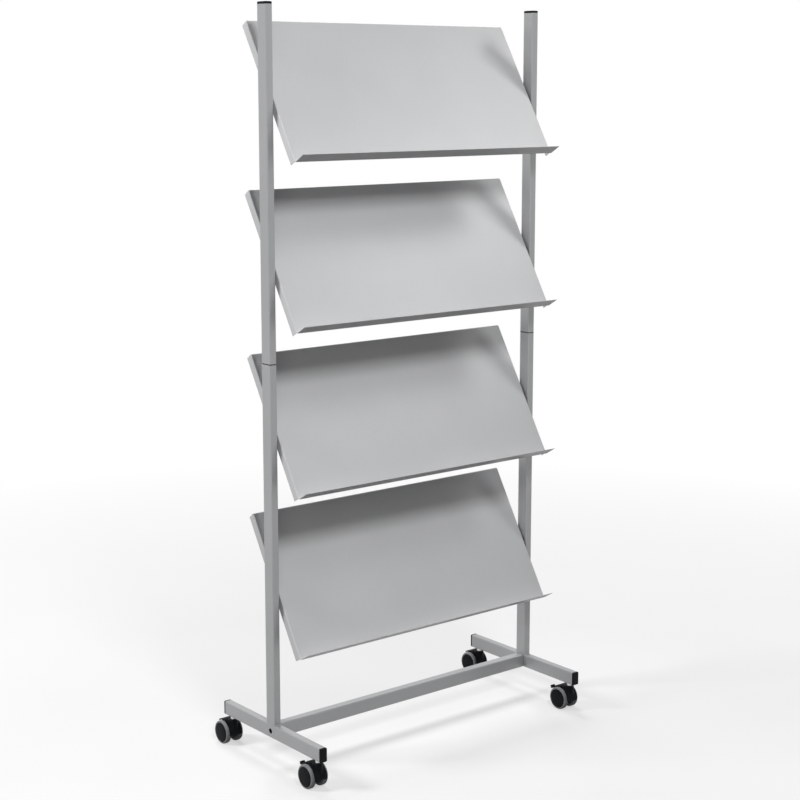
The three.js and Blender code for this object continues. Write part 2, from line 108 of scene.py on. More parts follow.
# Casters, about the stem's axis on the floor
TRAIL = 20 * MM
WHEEL_RADIUS = 30 * MM
WHEEL_INNER_X = 11 * MM
TREAD_WIDTH = 13.5 * MM
TREAD_ROUND = 3.2 * MM
COVER_RADIUS = 25 * MM
COVER_BULGE = 2.5 * MM
COVER_FULLNESS = 0.7  # below 1 the cover swells towards its rim
COVER_STEP = 8  # degrees
COVER_STEPS = 11
COVER_TIP = 0.2 * MM  # radius of the flat at the cover's middle
HUB_FIT = 0.05 * MM  # between the hub and the tread
HUB_CHAMFER = 2 * MM
HUB_CHAMFER_TALL = 0.6 * MM
AXLE_BORE = 8.6 * MM
AXLE_COVER = 5 * MM
HOOD_INNER_RADIUS = 31.3 * MM
HOOD_RADIUS = 34.5 * MM
HOOD_WIDTH = 36 * MM
HOOD_REAR = 55  # degrees up from the rear, about the axle
HOOD_FRONT = 185
HOOD_STEPS = 40
WEB_WIDTH = 20 * MM
WEB_RADIUS = 33 * MM
WEB_BOSS_RADIUS = 17 * MM
NECK_DIAMETER = 26 * MM
NECK_TOP = 66.7 * MM
NECK_ROUND = 1.5 * MM
NECK_PLAY = 0.3 * MM  # up to the collar
STEM_PIN = 10 * MM
STEM_BORE = 10.6 * MM
STEM_BORE_DEPTH = 25.3 * MM
COLLAR_DIAMETER = 13 * MM
COLLAR_ROUND = 0.6 * MM
STEM_BOTTOM = 41.7 * MM
FOOT_UNDERSIDE = 75 * MM
STEM_TOP = 97 * MM
MOULD_VOXEL = 0.7 * MM
MOULD_SMOOTHING = 6
MOULD_EASE = 0.5
MOULD_KEEP = 0.35  # share of the moulding's faces that its form needs

# Brake lever, about its knuckle
KNUCKLE_REACH = 27.5 * MM  # from the axle
KNUCKLE_ANGLE = 64  # degrees up from the rear, about the axle
KNUCKLE_DIAMETER = 7.2 * MM
TRUNNION_DIAMETER = 3.4 * MM
TRUNNION_BORE = 4 * MM
TRUNNION_SPAN = 15 * MM  # clear of the rounded ends of the bores
TRUNNION_BORE_SPAN = 17.6 * MM
LEVER_SLOT = 9 * MM
LEVER_SLOT_WIDTH = 12.6 * MM
LEVER_WIDTH = 12 * MM
LEVER_LENGTH = 34.5 * MM
LEVER_THICK = 4 * MM
LEVER_DROP = radians(17)
LEVER_TRAVEL = radians(15)
LEVER_VOXEL = 0.4 * MM
PEDAL_LENGTH = 6 * MM
PEDAL_TALL = 8 * MM
PEDAL_LIFT = 1.5 * MM
GRIP_RIBS = 2
GRIP_RIB = 1.0 * MM
GRIP_PITCH = 2.2 * MM
GRIP_START = 0.6  # of a pitch, from the pedal's end to the first rib
GRIP_SIDES = 12

SIDES = (("left", -1), ("right", 1))
ENDS = (("front", -1), ("rear", 1))
SHELVES = (1, 2, 3, 4)

# Finishes
SMOOTH_LIMIT = radians(38)  # faces that meet at less than this look smooth
FLAKE_SHADE = (0.93, 0.93, 0.93)
UNSHADED = (1, 1, 1)
GRAIN_DEPTH = 0.1 * MM
ZINC_LINE_DEPTH = 0.05 * MM
MIX_COLOURS = (6, 7)  # a Mix node's two colour inputs
MIX_RESULT = 2  # and its colour output


# Outlines and meshes

def rounded_rectangle(width, height, radius):
    """Corner arcs of a rectangle about the origin, counter-clockwise, as (a, b) points."""
    points = []
    for quarter, (a, b) in enumerate(((1, 1), (-1, 1), (-1, -1), (1, -1))):
        for step in range(CORNER_STEPS + 1):
            angle = (quarter + step / CORNER_STEPS) * pi / 2
            points.append((a * (width / 2 - radius) + radius * cos(angle),
                           b * (height / 2 - radius) + radius * sin(angle)))
    return points


def circle(radius, z, sides=ROUND_SIDES):
    """A level ring of points about the Z axis."""
    return [(radius * cos(2 * pi * i / sides), radius * sin(2 * pi * i / sides), z) for i in range(sides)]


def hexagon(across, z, sides):
    """A level six-sided ring, as many points as a circle of those sides."""
    ring = []
    for i in range(sides):
        angle = 2 * pi * i / sides
        turn = (angle + pi / 6) % (pi / 3) - pi / 6
        radius = across / 2 / cos(turn)
        ring.append((radius * cos(angle), radius * sin(angle), z))
    return ring


def loft(loops, closed=False):
    """A skin over loops of equally many points: closed on itself, or with a face on each end."""
    mesh = bmesh.new()
    rings = [[mesh.verts.new(point) for point in loop] for loop in loops]
    pairs = list(zip(rings, rings[1:]))
    if closed:
        pairs.append((rings[-1], rings[0]))
    else:
        mesh.faces.new(rings[0])
        mesh.faces.new(rings[-1])
    for first, second in pairs:
        for i in range(len(first)):
            j = (i + 1) % len(first)
            mesh.faces.new((first[i], first[j], second[j], second[i]))
    bmesh.ops.recalc_face_normals(mesh, faces=mesh.faces)
    return mesh


def turned(profile, sides=ROUND_SIDES, closed=False):
    """A piece turned about Z from (radius, height) points."""
    return loft([circle(radius, height, sides) for radius, height in profile], closed)


def arc(a, b, radius, start, end, steps=CORNER_STEPS):
    """Points of an arc in degrees, both ends included."""
    angles = [radians(start + (end - start) * i / steps) for i in range(steps + 1)]
    return [(a + radius * cos(angle), b + radius * sin(angle)) for angle in angles]


def across_x(outline, width):
    """An outline of (y, z) points pushed out both ways along X."""
    mesh = bmesh.new()
    face = mesh.faces.new([mesh.verts.new((-width / 2, y, z)) for y, z in outline])
    grown = bmesh.ops.extrude_face_region(mesh, geom=[face])["geom"]
    moved = [item for item in grown if isinstance(item, bmesh.types.BMVert)]
    bmesh.ops.translate(mesh, verts=moved, vec=(width, 0, 0))
    bmesh.ops.recalc_face_normals(mesh, faces=mesh.faces)
    return mesh


def rod_x(diameter, width, y=0.0, z=0.0, sides=ROUND_SIDES):
    """A round rod along X, centred at that (y, z)."""
    rod = turned([(diameter / 2, -width / 2), (diameter / 2, width / 2)], sides)
    rod.transform(Matrix.Translation((0, y, z)) @ Matrix.Rotation(pi / 2, 4, "Y"))
    return rod


def bar_x(front, rear, low, high, width):
    """A square-edged bar along X, between those places in Y and Z."""
    return across_x([(front, low), (rear, low), (rear, high), (front, high)], width)


def shown(mesh, name):
    """A new object that holds that mesh."""
    data = bpy.data.meshes.new(name)
    mesh.to_mesh(data)
    mesh.free()
    made = bpy.data.objects.new(name, data)
    bpy.context.scene.collection.objects.link(made)
    return made


def settled(made):
    """The mesh of an object with its modifiers carried out. The object goes."""
    graph = bpy.context.evaluated_depsgraph_get()
    mesh = bmesh.new()
    mesh.from_object(made, graph)
    bpy.data.objects.remove(made)
    return mesh


def combined(body, operation, *tools):
    """A mesh with others joined to it (UNION) or cut from it (DIFFERENCE)."""
    for tool in tools:
        first = shown(body, "first")
        second = shown(tool, "second")
        step = first.modifiers.new("combine", "BOOLEAN")
        step.operation = operation
        step.solver = "EXACT"
        step.object = second
        body = settled(first)
        bpy.data.objects.remove(second)
    return body


def moulded(mesh, voxel=MOULD_VOXEL):
    """A mesh with its edges and inner corners run smooth, as a moulding's are."""
    made = shown(mesh, "moulding")
    remesh = made.modifiers.new("skin", "REMESH")
    remesh.mode = "VOXEL"
    remesh.voxel_size = voxel
    smooth = made.modifiers.new("ease", "SMOOTH")
    smooth.factor = MOULD_EASE
    smooth.iterations = MOULD_SMOOTHING
    thin = made.modifiers.new("thin", "DECIMATE")
    thin.ratio = MOULD_KEEP
    return settled(made)


# Materials

def shader(name, **sockets):
    """A material whose Principled shader has those socket values. Returns it, its nodes and its links."""
    material = bpy.data.materials.new(name)
    material.use_nodes = True
    nodes, links = material.node_tree.nodes, material.node_tree.links
    for socket, value in sockets.items():
        nodes["Principled BSDF"].inputs[socket.replace("_", " ")].default_value = value
    return material, nodes, links


def noise(nodes, links, scale, detail=2.0, stretch=(1, 1, 1)):
    """A noise texture in the piece's own metres, so many grains to the metre."""
    place = nodes.new("ShaderNodeTexCoord")
    mapping = nodes.new("ShaderNodeMapping")
    mapping.inputs["Scale"].default_value = stretch
    links.new(place.outputs["Object"], mapping.inputs["Vector"])
    grain = nodes.new("ShaderNodeTexNoise")
    grain.inputs["Scale"].default_value = scale
    grain.inputs["Detail"].default_value = detail
    links.new(mapping.outputs["Vector"], grain.inputs["Vector"])
    return grain.outputs["Fac"]


def ramp(nodes, links, value, low, high, start=0.35, end=0.65):
    """A colour or a number that runs from low to high as value goes from start to end."""
    if isinstance(low, tuple):
        made = nodes.new("ShaderNodeValToRGB")
        made.color_ramp.elements[0].position = start
        made.color_ramp.elements[1].position = end
        made.color_ramp.elements[0].color = (*low, 1)
        made.color_ramp.elements[1].color = (*high, 1)
        links.new(value, made.inputs["Fac"])
        return made.outputs["Color"]
    made = nodes.new("ShaderNodeMapRange")
    for socket, number in zip(("From Min", "From Max", "To Min", "To Max"), (start, end, low, high)):
        made.inputs[socket].default_value = number
    links.new(value, made.inputs["Value"])
    return made.outputs["Result"]


def bump(nodes, links, height, strength, distance):
    """A bump of that height texture."""
    made = nodes.new("ShaderNodeBump")
    made.inputs["Strength"].default_value = strength
    made.inputs["Distance"].default_value = distance
    links.new(height, made.inputs["Height"])
    return made.outputs["Normal"]


def multiply(nodes, links, first, second):
    """Two colours multiplied."""
    made = nodes.new("ShaderNodeMix")
    made.data_type = "RGBA"
    made.blend_type = "MULTIPLY"
    made.inputs["Factor"].default_value = 1
    for colour, socket in zip((first, second), MIX_COLOURS):
        links.new(colour, made.inputs[socket])
    return made.outputs[MIX_RESULT]


def grained(name, low, high, rough, grain, bump_strength, clouds=4.0, **sockets):
    """A finish with cloudy tone, fine speckle, uneven gloss and a grainy surface."""
    material, nodes, links = shader(name, **sockets)
    surface = nodes["Principled BSDF"].inputs
    cloud = noise(nodes, links, clouds, 3)
    speckle = noise(nodes, links, grain, 2)
    tone = ramp(nodes, links, cloud, low, high)
    flake = ramp(nodes, links, speckle, FLAKE_SHADE, UNSHADED)
    links.new(multiply(nodes, links, tone, flake), surface["Base Color"])
    links.new(ramp(nodes, links, speckle, *rough), surface["Roughness"])
    links.new(bump(nodes, links, speckle, bump_strength, GRAIN_DEPTH), surface["Normal"])
    return material


def coat_material():
    """Satin silver-grey powder coat of the tubes: fine orange peel, fine flakes, faint cloudiness."""
    return grained("grey_coat", low=(0.34, 0.345, 0.35), high=(0.36, 0.365, 0.37), rough=(0.40, 0.52),
                   grain=700, bump_strength=0.12, Metallic=0.5, Coat_Weight=0.5, Coat_Roughness=0.35)


def shelf_coat_material():
    """The same coat in the shelves' paler tone, a little smoother."""
    return grained("shelf_coat", low=(0.495, 0.50, 0.505), high=(0.515, 0.52, 0.525), rough=(0.34, 0.42),
                   grain=700, bump_strength=0.10, Metallic=0.06, Specular_IOR_Level=0.4)


def cap_material():
    """Black moulded plastic with a fine spark-eroded grain."""
    return grained("cap_plastic", low=(0.005, 0.005, 0.006), high=(0.008, 0.008, 0.009), rough=(0.45, 0.60),
                   grain=1800, bump_strength=0.25, clouds=40, Specular_IOR_Level=0.1)


def caster_material():
    """Black moulded nylon, a little smoother."""
    return grained("caster_plastic", low=(0.004, 0.005, 0.006), high=(0.007, 0.008, 0.009),
                   rough=(0.38, 0.52), grain=900, bump_strength=0.12, clouds=60, Specular_IOR_Level=0.06)


def tread_material():
    """Grey soft tread."""
    return grained("soft_tread", low=(0.18, 0.185, 0.19), high=(0.22, 0.225, 0.23), rough=(0.55, 0.72),
                   grain=1200, bump_strength=0.2, clouds=60, Specular_IOR_Level=0.2)


def nylon_material():
    """Black nylon of the spacers."""
    return grained("nylon", low=(0.014, 0.014, 0.015), high=(0.022, 0.022, 0.023), rough=(0.40, 0.55),
                   grain=1500, bump_strength=0.2, clouds=80)


def zinc_material():
    """Bright zinc plate, drawn out along the turning."""
    material, nodes, links = shader("zinc_steel", Metallic=1.0)
    surface = nodes["Principled BSDF"].inputs
    lines = noise(nodes, links, scale=1500, detail=3, stretch=(1, 1, 0.08))
    patches = noise(nodes, links, scale=90, detail=3)
    links.new(ramp(nodes, links, patches, (0.62, 0.63, 0.64), (0.76, 0.77, 0.78)), surface["Base Color"])
    links.new(ramp(nodes, links, lines, 0.22, 0.40), surface["Roughness"])
    links.new(bump(nodes, links, lines, strength=0.1, distance=ZINC_LINE_DEPTH), surface["Normal"])
    return material


MATERIALS = {
    "grey_coat": coat_material(),
    "shelf_coat": shelf_coat_material(),
    "cap_plastic": cap_material(),
    "caster_plastic": caster_material(),
    "soft_tread": tread_material(),
    "nylon": nylon_material(),
    "zinc_steel": zinc_material(),
}


def piece(name, mesh, slot, body, *replaced, flat_faces=True):
    """A finished piece: smooth where its faces meet gently, riding on a body in place of those nodes."""
    made = shown(mesh, name)
    made.data.materials.append(MATERIALS[slot])
    made.data.shade_smooth()
    made.data.set_sharp_from_angle(angle=SMOOTH_LIMIT)
    if flat_faces:
        normals = made.modifiers.new("normals", "WEIGHTED_NORMAL")
        normals.keep_sharp = True
    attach(made, body)
    if replaced:
        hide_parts(*replaced)


def middle_of(node):
    """The middle of a node's box."""
    low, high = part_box(node)
    return (low + high) / 2


def size_of(node):
    """A node's size along X, Y and Z."""
    low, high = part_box(node)
    return high - low


# Screws and spacers

def screw(shank, head, head_tall, socket, length):
    """A socket-headed screw along Z: the top of its head at z = 0, its point at z = length."""
    sides = SCREW_SIDES
    loops = [
        hexagon(socket, head_tall * SOCKET_DEPTH, sides),
        hexagon(socket, SOCKET_EASE, sides),
        hexagon(socket + 2 * SOCKET_EASE, 0, sides),
    ]
    rounding = arc(head / 2 - HEAD_ROUND, HEAD_ROUND, HEAD_ROUND, -90, 0)
    loops += [circle(radius, z, sides) for radius, z in rounding]
    loops += [circle(head / 2, head_tall, sides), circle(shank / 2, head_tall, sides)]
    loops += [circle(shank / 2, length - HEAD_ROUND, sides), circle(shank / 2 - HEAD_ROUND, length, sides)]
    return loft(loops)


def spacer(outer, bore, thickness):
    """A washer along Z with eased edges."""
    return turned([
        (bore, 0), (outer - SPACER_CHAMFER, 0), (outer, SPACER_CHAMFER),
        (outer, thickness - SPACER_CHAMFER), (outer - SPACER_CHAMFER, thickness), (bore, thickness),
    ], closed=True)


# Frame

def inside(width, height, inset, z):
    """A level outline that lies that far inside the outline of a tube."""
    radius = max(TUBE_CORNER - inset, TUBE_CORNER / 4)
    return [(x, y, z) for x, y in rounded_rectangle(width - 2 * inset, height - 2 * inset, radius)]


def tube(width, height, length):
    """A tube along Z from the origin, with eased ends."""
    start = []
    for step in range(CORNER_STEPS + 1):
        angle = step / CORNER_STEPS * pi / 2
        inset = TUBE_END_ROUND * (1 - sin(angle))
        rise = TUBE_END_ROUND * (1 - cos(angle))
        start.append((inset, rise))
    stations = start + [(inset, length - rise) for inset, rise in reversed(start)]
    stations += [(TUBE_WALL, length), (TUBE_WALL, 0)]
    return loft([inside(width, height, *station) for station in stations], closed=True)


def cap(width, height, head):
    """A plug below z = 0 and its rounded head above."""
    stations = [(PLUG_INSET, -CAP_PLUG), (PLUG_INSET, 0), (0, 0)]
    for step in range(CORNER_STEPS + 1):
        angle = step / CORNER_STEPS * pi / 2
        stations.append((CAP_ROUND * (1 - cos(angle)), head - CAP_CROWN - CAP_ROUND * (1 - sin(angle))))
    stations.append((2 * CAP_ROUND, head))
    return loft([inside(width, height, *station) for station in stations])


def joiner(width, height, below, above, rim):
    """A sleeve from below to above z = 0, with an eased rim that stands on z = 0."""
    bore = PLUG_INSET + TUBE_WALL
    stations = [
        (PLUG_INSET, -below), (PLUG_INSET, 0), (JOINER_EASE, 0), (0, JOINER_EASE), (0, rim - JOINER_EASE),
        (JOINER_EASE, rim), (PLUG_INSET, rim), (PLUG_INSET, above), (bore, above), (bore, -below),
    ]
    return loft([inside(width, height, *station) for station in stations], closed=True)


def weld(width):
    """A rippled fillet along X in the corner between the floor of a joint and the wall behind it."""
    loops = []
    for station in range(WELD_STATIONS + 1):
        share = station / WELD_STATIONS
        leg = WELD_LEG * (1 + WELD_RIPPLE_DEPTH * sin(2 * pi * WELD_RIPPLES * share))
        leg *= min(1, WELD_END + WELD_GROWTH * min(share, 1 - share))
        bulge = arc(0, 0, leg, 180, 90)
        x = width * (share - 0.5)
        loops.append([(x, 0, 0)] + [(x, y, z) for y, z in bulge])
    return loft(loops)


def flush_weld(length):
    """A weld along Y that is ground flush with x = 0, over the seam at z = 0. It sinks in at its ends."""
    loops = []
    for station in range(WELD_STATIONS + 1):
        share = station / WELD_STATIONS
        sunk = max(0, 1 - min(share, 1 - share) / WELD_SINK)
        face = WELD_PROUD - WELD_LEG * sunk ** 2
        y = length * (share - 0.5)
        corners = (
            (face, -WELD_LEG), (face, WELD_LEG / 2), (-WELD_LEG, WELD_LEG / 2), (-WELD_LEG, -WELD_LEG),
        )
        loops.append([(x, y, z) for x, z in corners])
    return loft(loops)


def build_foot(name, side):
    """A foot tube, with a hole in its outer wall for the crossbar's screw."""
    node = f"{name}_foot_tube"
    middle = middle_of(node)
    size = size_of(node)
    foot = tube(size.x, size.z, size.y)
    foot.transform(Matrix.Translation((middle.x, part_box(node)[0].y, middle.z))
                   @ Matrix.Rotation(-pi / 2, 4, "X"))
    outer_wall = side * (size.x / 2 - TUBE_WALL)
    hole = rod_x(BAR_HEAD_HOLE, 4 * TUBE_WALL, middle_of(f"{name}_lower_post").y, middle.z)
    hole.transform(Matrix.Translation((middle.x + outer_wall, 0, 0)))
    piece(f"{name}_foot", combined(foot, "DIFFERENCE", hole), "grey_coat", "frame", node)


def build_post(name):
    """Both halves of a post."""
    for half in ("lower", "upper"):
        node = f"{name}_{half}_post"
        middle = middle_of(node)
        size = size_of(node)
        post = tube(size.x, size.y, size.z)
        post.transform(Matrix.Translation((middle.x, middle.y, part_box(node)[0].z)))
        piece(f"{name}_{half}_upright", post, "grey_coat", "frame", node)


def build_post_fittings(name):
    """The connector between a post's two halves, and the plug on top."""
    low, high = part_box(f"{name}_upper_post")
    middle = (low + high) / 2
    size = high - low
    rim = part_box(f"{name}_lower_post")[1].z + JOINER_PLAY
    sleeve_low, sleeve_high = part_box(f"{name}_post_joiner")
    sleeve = joiner(size.x, size.y, rim - sleeve_low.z, sleeve_high.z - rim, low.z - JOINER_PLAY - rim)
    sleeve.transform(Matrix.Translation((middle.x, middle.y, rim)))
    piece(f"{name}_post_connector", sleeve, "cap_plastic", "frame", f"{name}_post_joiner")
    head = cap(size.x, size.y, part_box(f"{name}_post_cap")[1].z - high.z)
    head.transform(Matrix.Translation((middle.x, middle.y, high.z)))
    piece(f"{name}_post_plug", head, "cap_plastic", "frame", f"{name}_post_cap")


def build_foot_plug(name, end, sign):
    """The plug in one end of a foot."""
    node = f"{end}_{name}_foot_cap"
    low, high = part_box(f"{name}_foot_tube")
    middle = (low + high) / 2
    edge = high.y if sign > 0 else low.y
    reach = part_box(node)[1 if sign > 0 else 0].y
    plug = cap(high.x - low.x, high.z - low.z, abs(reach - edge))
    plug.transform(Matrix.Translation((middle.x, edge, middle.z)) @ Matrix.Rotation(-sign * pi / 2, 4, "X"))
    piece(f"{end}_{name}_foot_plug", plug, "cap_plastic", "frame", node)


def build_fillet(name, end, sign):
    """The weld in front of a post or behind it."""
    middle = middle_of(f"{name}_lower_post")
    size = size_of(f"{name}_lower_post")
    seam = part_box(f"{name}_foot_tube")[1].z
    bead = weld(size.x - 2 * TUBE_CORNER)
    bead.transform(Matrix.Translation((middle.x, middle.y + sign * size.y / 2, seam))
                   @ Matrix.Scale(-sign, 4, (0, 1, 0)))
    bmesh.ops.recalc_face_normals(bead, faces=bead.faces)
    piece(f"{end}_{name}_post_weld", bead, "grey_coat", "frame", flat_faces=False)


def build_flush_welds(name, side):
    """The welds on a post's outer and inner face."""
    middle = middle_of(f"{name}_lower_post")
    size = size_of(f"{name}_lower_post")
    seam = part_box(f"{name}_foot_tube")[1].z
    for face, way in (("outer", side), ("inner", -side)):
        bead = flush_weld(size.y - 2 * TUBE_CORNER)
        bead.transform(Matrix.Translation((middle.x + way * size.x / 2, middle.y, seam))
                       @ Matrix.Scale(way, 4, (1, 0, 0)))
        bmesh.ops.recalc_face_normals(bead, faces=bead.faces)
        piece(f"{face}_{name}_post_weld", bead, "grey_coat", "frame")


def build_crossbar_screw(name, side):
    """The screw that holds the crossbar's end, level with the foot's middle."""
    node = f"{name}_crossbar_screw"
    low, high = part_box(node)
    outer = high.x if side > 0 else low.x
    post_y = middle_of(f"{name}_lower_post").y
    foot_z = middle_of(f"{name}_foot_tube").z
    bolt = screw(BAR_SHANK, BAR_HEAD, BAR_HEAD_TALL, BAR_SOCKET, high.x - low.x)
    bolt.transform(Matrix.Translation((outer, post_y, foot_z)) @ Matrix.Rotation(-side * pi / 2, 4, "Y"))
    piece(f"{name}_crossbar_bolt", bolt, "zinc_steel", "frame", node)


def build_crossbar():
    """The tube between the feet."""
    middle = middle_of("crossbar")
    size = size_of("crossbar")
    bar = tube(size.z, size.y, size.x)
    bar.transform(Matrix.Translation((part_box("crossbar")[0].x, middle.y, middle.z))
                  @ Matrix.Rotation(pi / 2, 4, "Y"))
    piece("lower_crossbar", bar, "grey_coat", "frame", "crossbar")


def build_frame():
    """Both sides of the frame, and the crossbar between them."""
    for name, side in SIDES:
        build_foot(name, side)
        build_post(name)
        build_post_fittings(name)
        for end, sign in ENDS:
            build_foot_plug(name, end, sign)
            build_fillet(name, end, sign)
        build_flush_welds(name, side)
        build_crossbar_screw(name, side)
    build_crossbar()


# Shelves

def folded_sheet(half_width):
    """One sheet folded on four sides, about its pivot: the panel stands along Z and faces -Y."""
    middle = SHEET / 2
    bend = BEND + middle
    panel_y = -PIVOT_SETBACK + middle
    right = half_width - middle - bend
    bottom = -PANEL_BELOW_PIVOT + middle + bend
    top = PANEL_ABOVE_PIVOT - middle - bend
    mesh = bmesh.new()
    corners = [mesh.verts.new((x, panel_y, z)) for x, z in
               ((-right, bottom), (right, bottom), (right, top), (-right, top))]
    mesh.faces.new(corners)
    folds = (
        (0, 1, Vector((0, 0, -1)), -1, LIP, middle + bend),
        (1, 2, Vector((1, 0, 0)), 1, SIDE_FLANGE, 0),
        (2, 3, Vector((0, 0, 1)), 1, TOP_FLANGE, 0),
        (3, 0, Vector((-1, 0, 0)), 1, SIDE_FLANGE, 0),
    )
    for start, end, outward, back, depth, flare in folds:
        along = (corners[end].co - corners[start].co).normalized()
        edge = (corners[start], corners[end])
        reach = depth + middle if back < 0 else depth - middle
        steps = [(bend * sin(a), bend * (1 - cos(a)), flare) for a in
                 (pi / 2 * (i + 1) / BEND_STEPS for i in range(BEND_STEPS))]
        for out, deep, wide in steps + [(bend, reach, flare)]:
            shift = outward * out + Vector((0, back * deep, 0))
            strip = (mesh.verts.new(corners[start].co + shift - along * wide),
                     mesh.verts.new(corners[end].co + shift + along * wide))
            mesh.faces.new((edge[0], edge[1], strip[1], strip[0]))
            edge = strip
    bmesh.ops.recalc_face_normals(mesh, faces=mesh.faces)
    made = shown(mesh, "sheet")
    thick = made.modifiers.new("thick", "SOLIDIFY")
    thick.thickness = SHEET
    thick.offset = 0
    thick.use_even_offset = True
    ease = made.modifiers.new("ease", "BEVEL")
    ease.width = SHEET_EDGE_ROUND
    ease.segments = SHEET_EDGE_STEPS
    ease.limit_method = "ANGLE"
    ease.angle_limit = SHEET_EDGE_LIMIT
    return settled(made)


def build_pivots(node, pivot):
    """The screw and the spacer that carry a shelf on each post."""
    for name, side in SIDES:
        turn = Matrix.Rotation(side * pi / 2, 4, "Y")
        low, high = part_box(f"{node}_{name}_pivot_screw")
        inner = low.x if side > 0 else high.x
        bolt = screw(PIVOT_SHANK, PIVOT_HEAD, PIVOT_HEAD_TALL, PIVOT_SOCKET, high.x - low.x)
        bolt.transform(Matrix.Translation((inner, pivot.y, pivot.z)) @ turn)
        piece(f"{node}_{name}_bolt", bolt, "zinc_steel", "frame", f"{node}_{name}_pivot_screw")
        low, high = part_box(f"{node}_{name}_pivot_spacer")
        inner = low.x if side > 0 else high.x
        washer = spacer((high.z - low.z) / 2, PIVOT_HOLE / 2, high.x - low.x)
        washer.transform(Matrix.Translation((inner, pivot.y, pivot.z)) @ turn)
        piece(f"{node}_{name}_washer", washer, "nylon", "frame", f"{node}_{name}_pivot_spacer")


def build_shelves():
    """Each shelf at its tilt, bored for its screws, and its pivots."""
    pivots = {joint["child"]: Vector(joint["pos_m"]) for joint in frame["joints"]}
    for number in SHELVES:
        node = f"shelf_{number}"
        half_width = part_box(node)[1].x
        hole = rod_x(PIVOT_HOLE, 3 * half_width, sides=SCREW_SIDES)
        sheet = combined(folded_sheet(half_width), "DIFFERENCE", hole)
        sheet.transform(Matrix.Translation(pivots[node]) @ Matrix.Rotation(-SHELF_TILT, 4, "X"))
        piece(f"display_{node}", sheet, "shelf_coat", node, node)
        build_pivots(node, pivots[node])


# Casters

def about_axle(radius, degrees):
    """A point about the axle, by radius and degrees up from the rear, as (y, z)."""
    return TRAIL + radius * cos(radians(degrees)), WHEEL_RADIUS + radius * sin(radians(degrees))


def housing(braked):
    """Hood, web and neck in one moulding, bored for the stem and slotted for a lever."""
    hood = arc(TRAIL, WHEEL_RADIUS, HOOD_RADIUS, HOOD_REAR, HOOD_FRONT, HOOD_STEPS)
    hood = across_x(hood + [(TRAIL, WHEEL_RADIUS)], HOOD_WIDTH)
    neck = turned([(NECK_DIAMETER / 2, WHEEL_RADIUS), (NECK_DIAMETER / 2, NECK_TOP - NECK_ROUND),
                   (NECK_DIAMETER / 2 - NECK_ROUND, NECK_TOP)])
    wheel_space = rod_x(2 * HOOD_INNER_RADIUS, 2 * HOOD_WIDTH, TRAIL, WHEEL_RADIUS, 2 * ROUND_SIDES)
    web = arc(TRAIL, WHEEL_RADIUS, WEB_RADIUS, HOOD_REAR, HOOD_FRONT, HOOD_STEPS)
    web += arc(TRAIL, WHEEL_RADIUS, WEB_BOSS_RADIUS, HOOD_FRONT, HOOD_REAR + 360, HOOD_STEPS)
    stem_bore = turned([(STEM_BORE / 2, NECK_TOP - STEM_BORE_DEPTH),
                        (STEM_BORE / 2, NECK_TOP + STEM_BORE_DEPTH)])
    axle_bore = rod_x(AXLE_BORE, 2 * WEB_WIDTH, TRAIL, WHEEL_RADIUS)
    shell = combined(combined(hood, "UNION", neck), "DIFFERENCE", wheel_space)
    shell = combined(shell, "UNION", across_x(web, WEB_WIDTH))
    if braked:
        spot = about_axle(KNUCKLE_REACH, KNUCKLE_ANGLE)
        slot = bar_x(0, HOOD_RADIUS, -LEVER_SLOT / 2, LEVER_SLOT / 2, LEVER_SLOT_WIDTH)
        slot.transform(Matrix.Translation((0, *spot))
                       @ Matrix.Rotation(-LEVER_DROP - LEVER_TRAVEL / 2, 4, "X"))
        shell = combined(shell, "DIFFERENCE", slot, rod_x(LEVER_SLOT, LEVER_SLOT_WIDTH, *spot),
                         rod_x(TRUNNION_BORE, TRUNNION_BORE_SPAN, *spot))
    return moulded(combined(shell, "DIFFERENCE", stem_bore, axle_bore))


def stem():
    """Swivel pin, collar and stud, turned."""
    pin = STEM_PIN / 2
    collar = COLLAR_DIAMETER / 2
    low = NECK_TOP + NECK_PLAY
    return turned([
        (pin - COLLAR_ROUND, STEM_BOTTOM), (pin, STEM_BOTTOM + COLLAR_ROUND), (pin, low),
        (collar - COLLAR_ROUND, low), (collar, low + COLLAR_ROUND),
        (collar, FOOT_UNDERSIDE - COLLAR_ROUND), (collar - COLLAR_ROUND, FOOT_UNDERSIDE),
        (pin, FOOT_UNDERSIDE), (pin, STEM_TOP - COLLAR_ROUND), (pin - COLLAR_ROUND, STEM_TOP),
    ])


def tyre():
    """The soft tread of a wheel, along Z from its inner face."""
    rim = WHEEL_RADIUS - TREAD_ROUND
    profile = [(COVER_RADIUS - TREAD_ROUND, 0)]
    profile += arc(rim, TREAD_ROUND, TREAD_ROUND, -90, 0)
    profile += arc(rim, TREAD_WIDTH - TREAD_ROUND, TREAD_ROUND, 0, 90)
    profile += [(COVER_RADIUS - TREAD_ROUND, TREAD_WIDTH)]
    return turned(profile, 2 * ROUND_SIDES, closed=True)


def hub():
    """The wheel's body inside the tread, with its domed cover, along Z from the inner face."""
    bore = AXLE_BORE / 2
    face = TREAD_WIDTH + COVER_BULGE
    seat = COVER_RADIUS - TREAD_ROUND - HUB_FIT
    rim = TREAD_WIDTH + HUB_FIT
    dome = []
    for step in range(COVER_STEPS):
        angle = radians(COVER_STEP * step)
        dome.append((COVER_RADIUS * cos(angle), rim + (face - rim) * sin(angle) ** COVER_FULLNESS))
    return turned([
        (COVER_TIP, face - AXLE_COVER), (bore, face - AXLE_COVER), (bore, 0), (seat - HUB_CHAMFER, 0),
        (seat, HUB_CHAMFER_TALL), (seat, rim), *dome, (COVER_TIP, face),
    ], 2 * ROUND_SIDES)


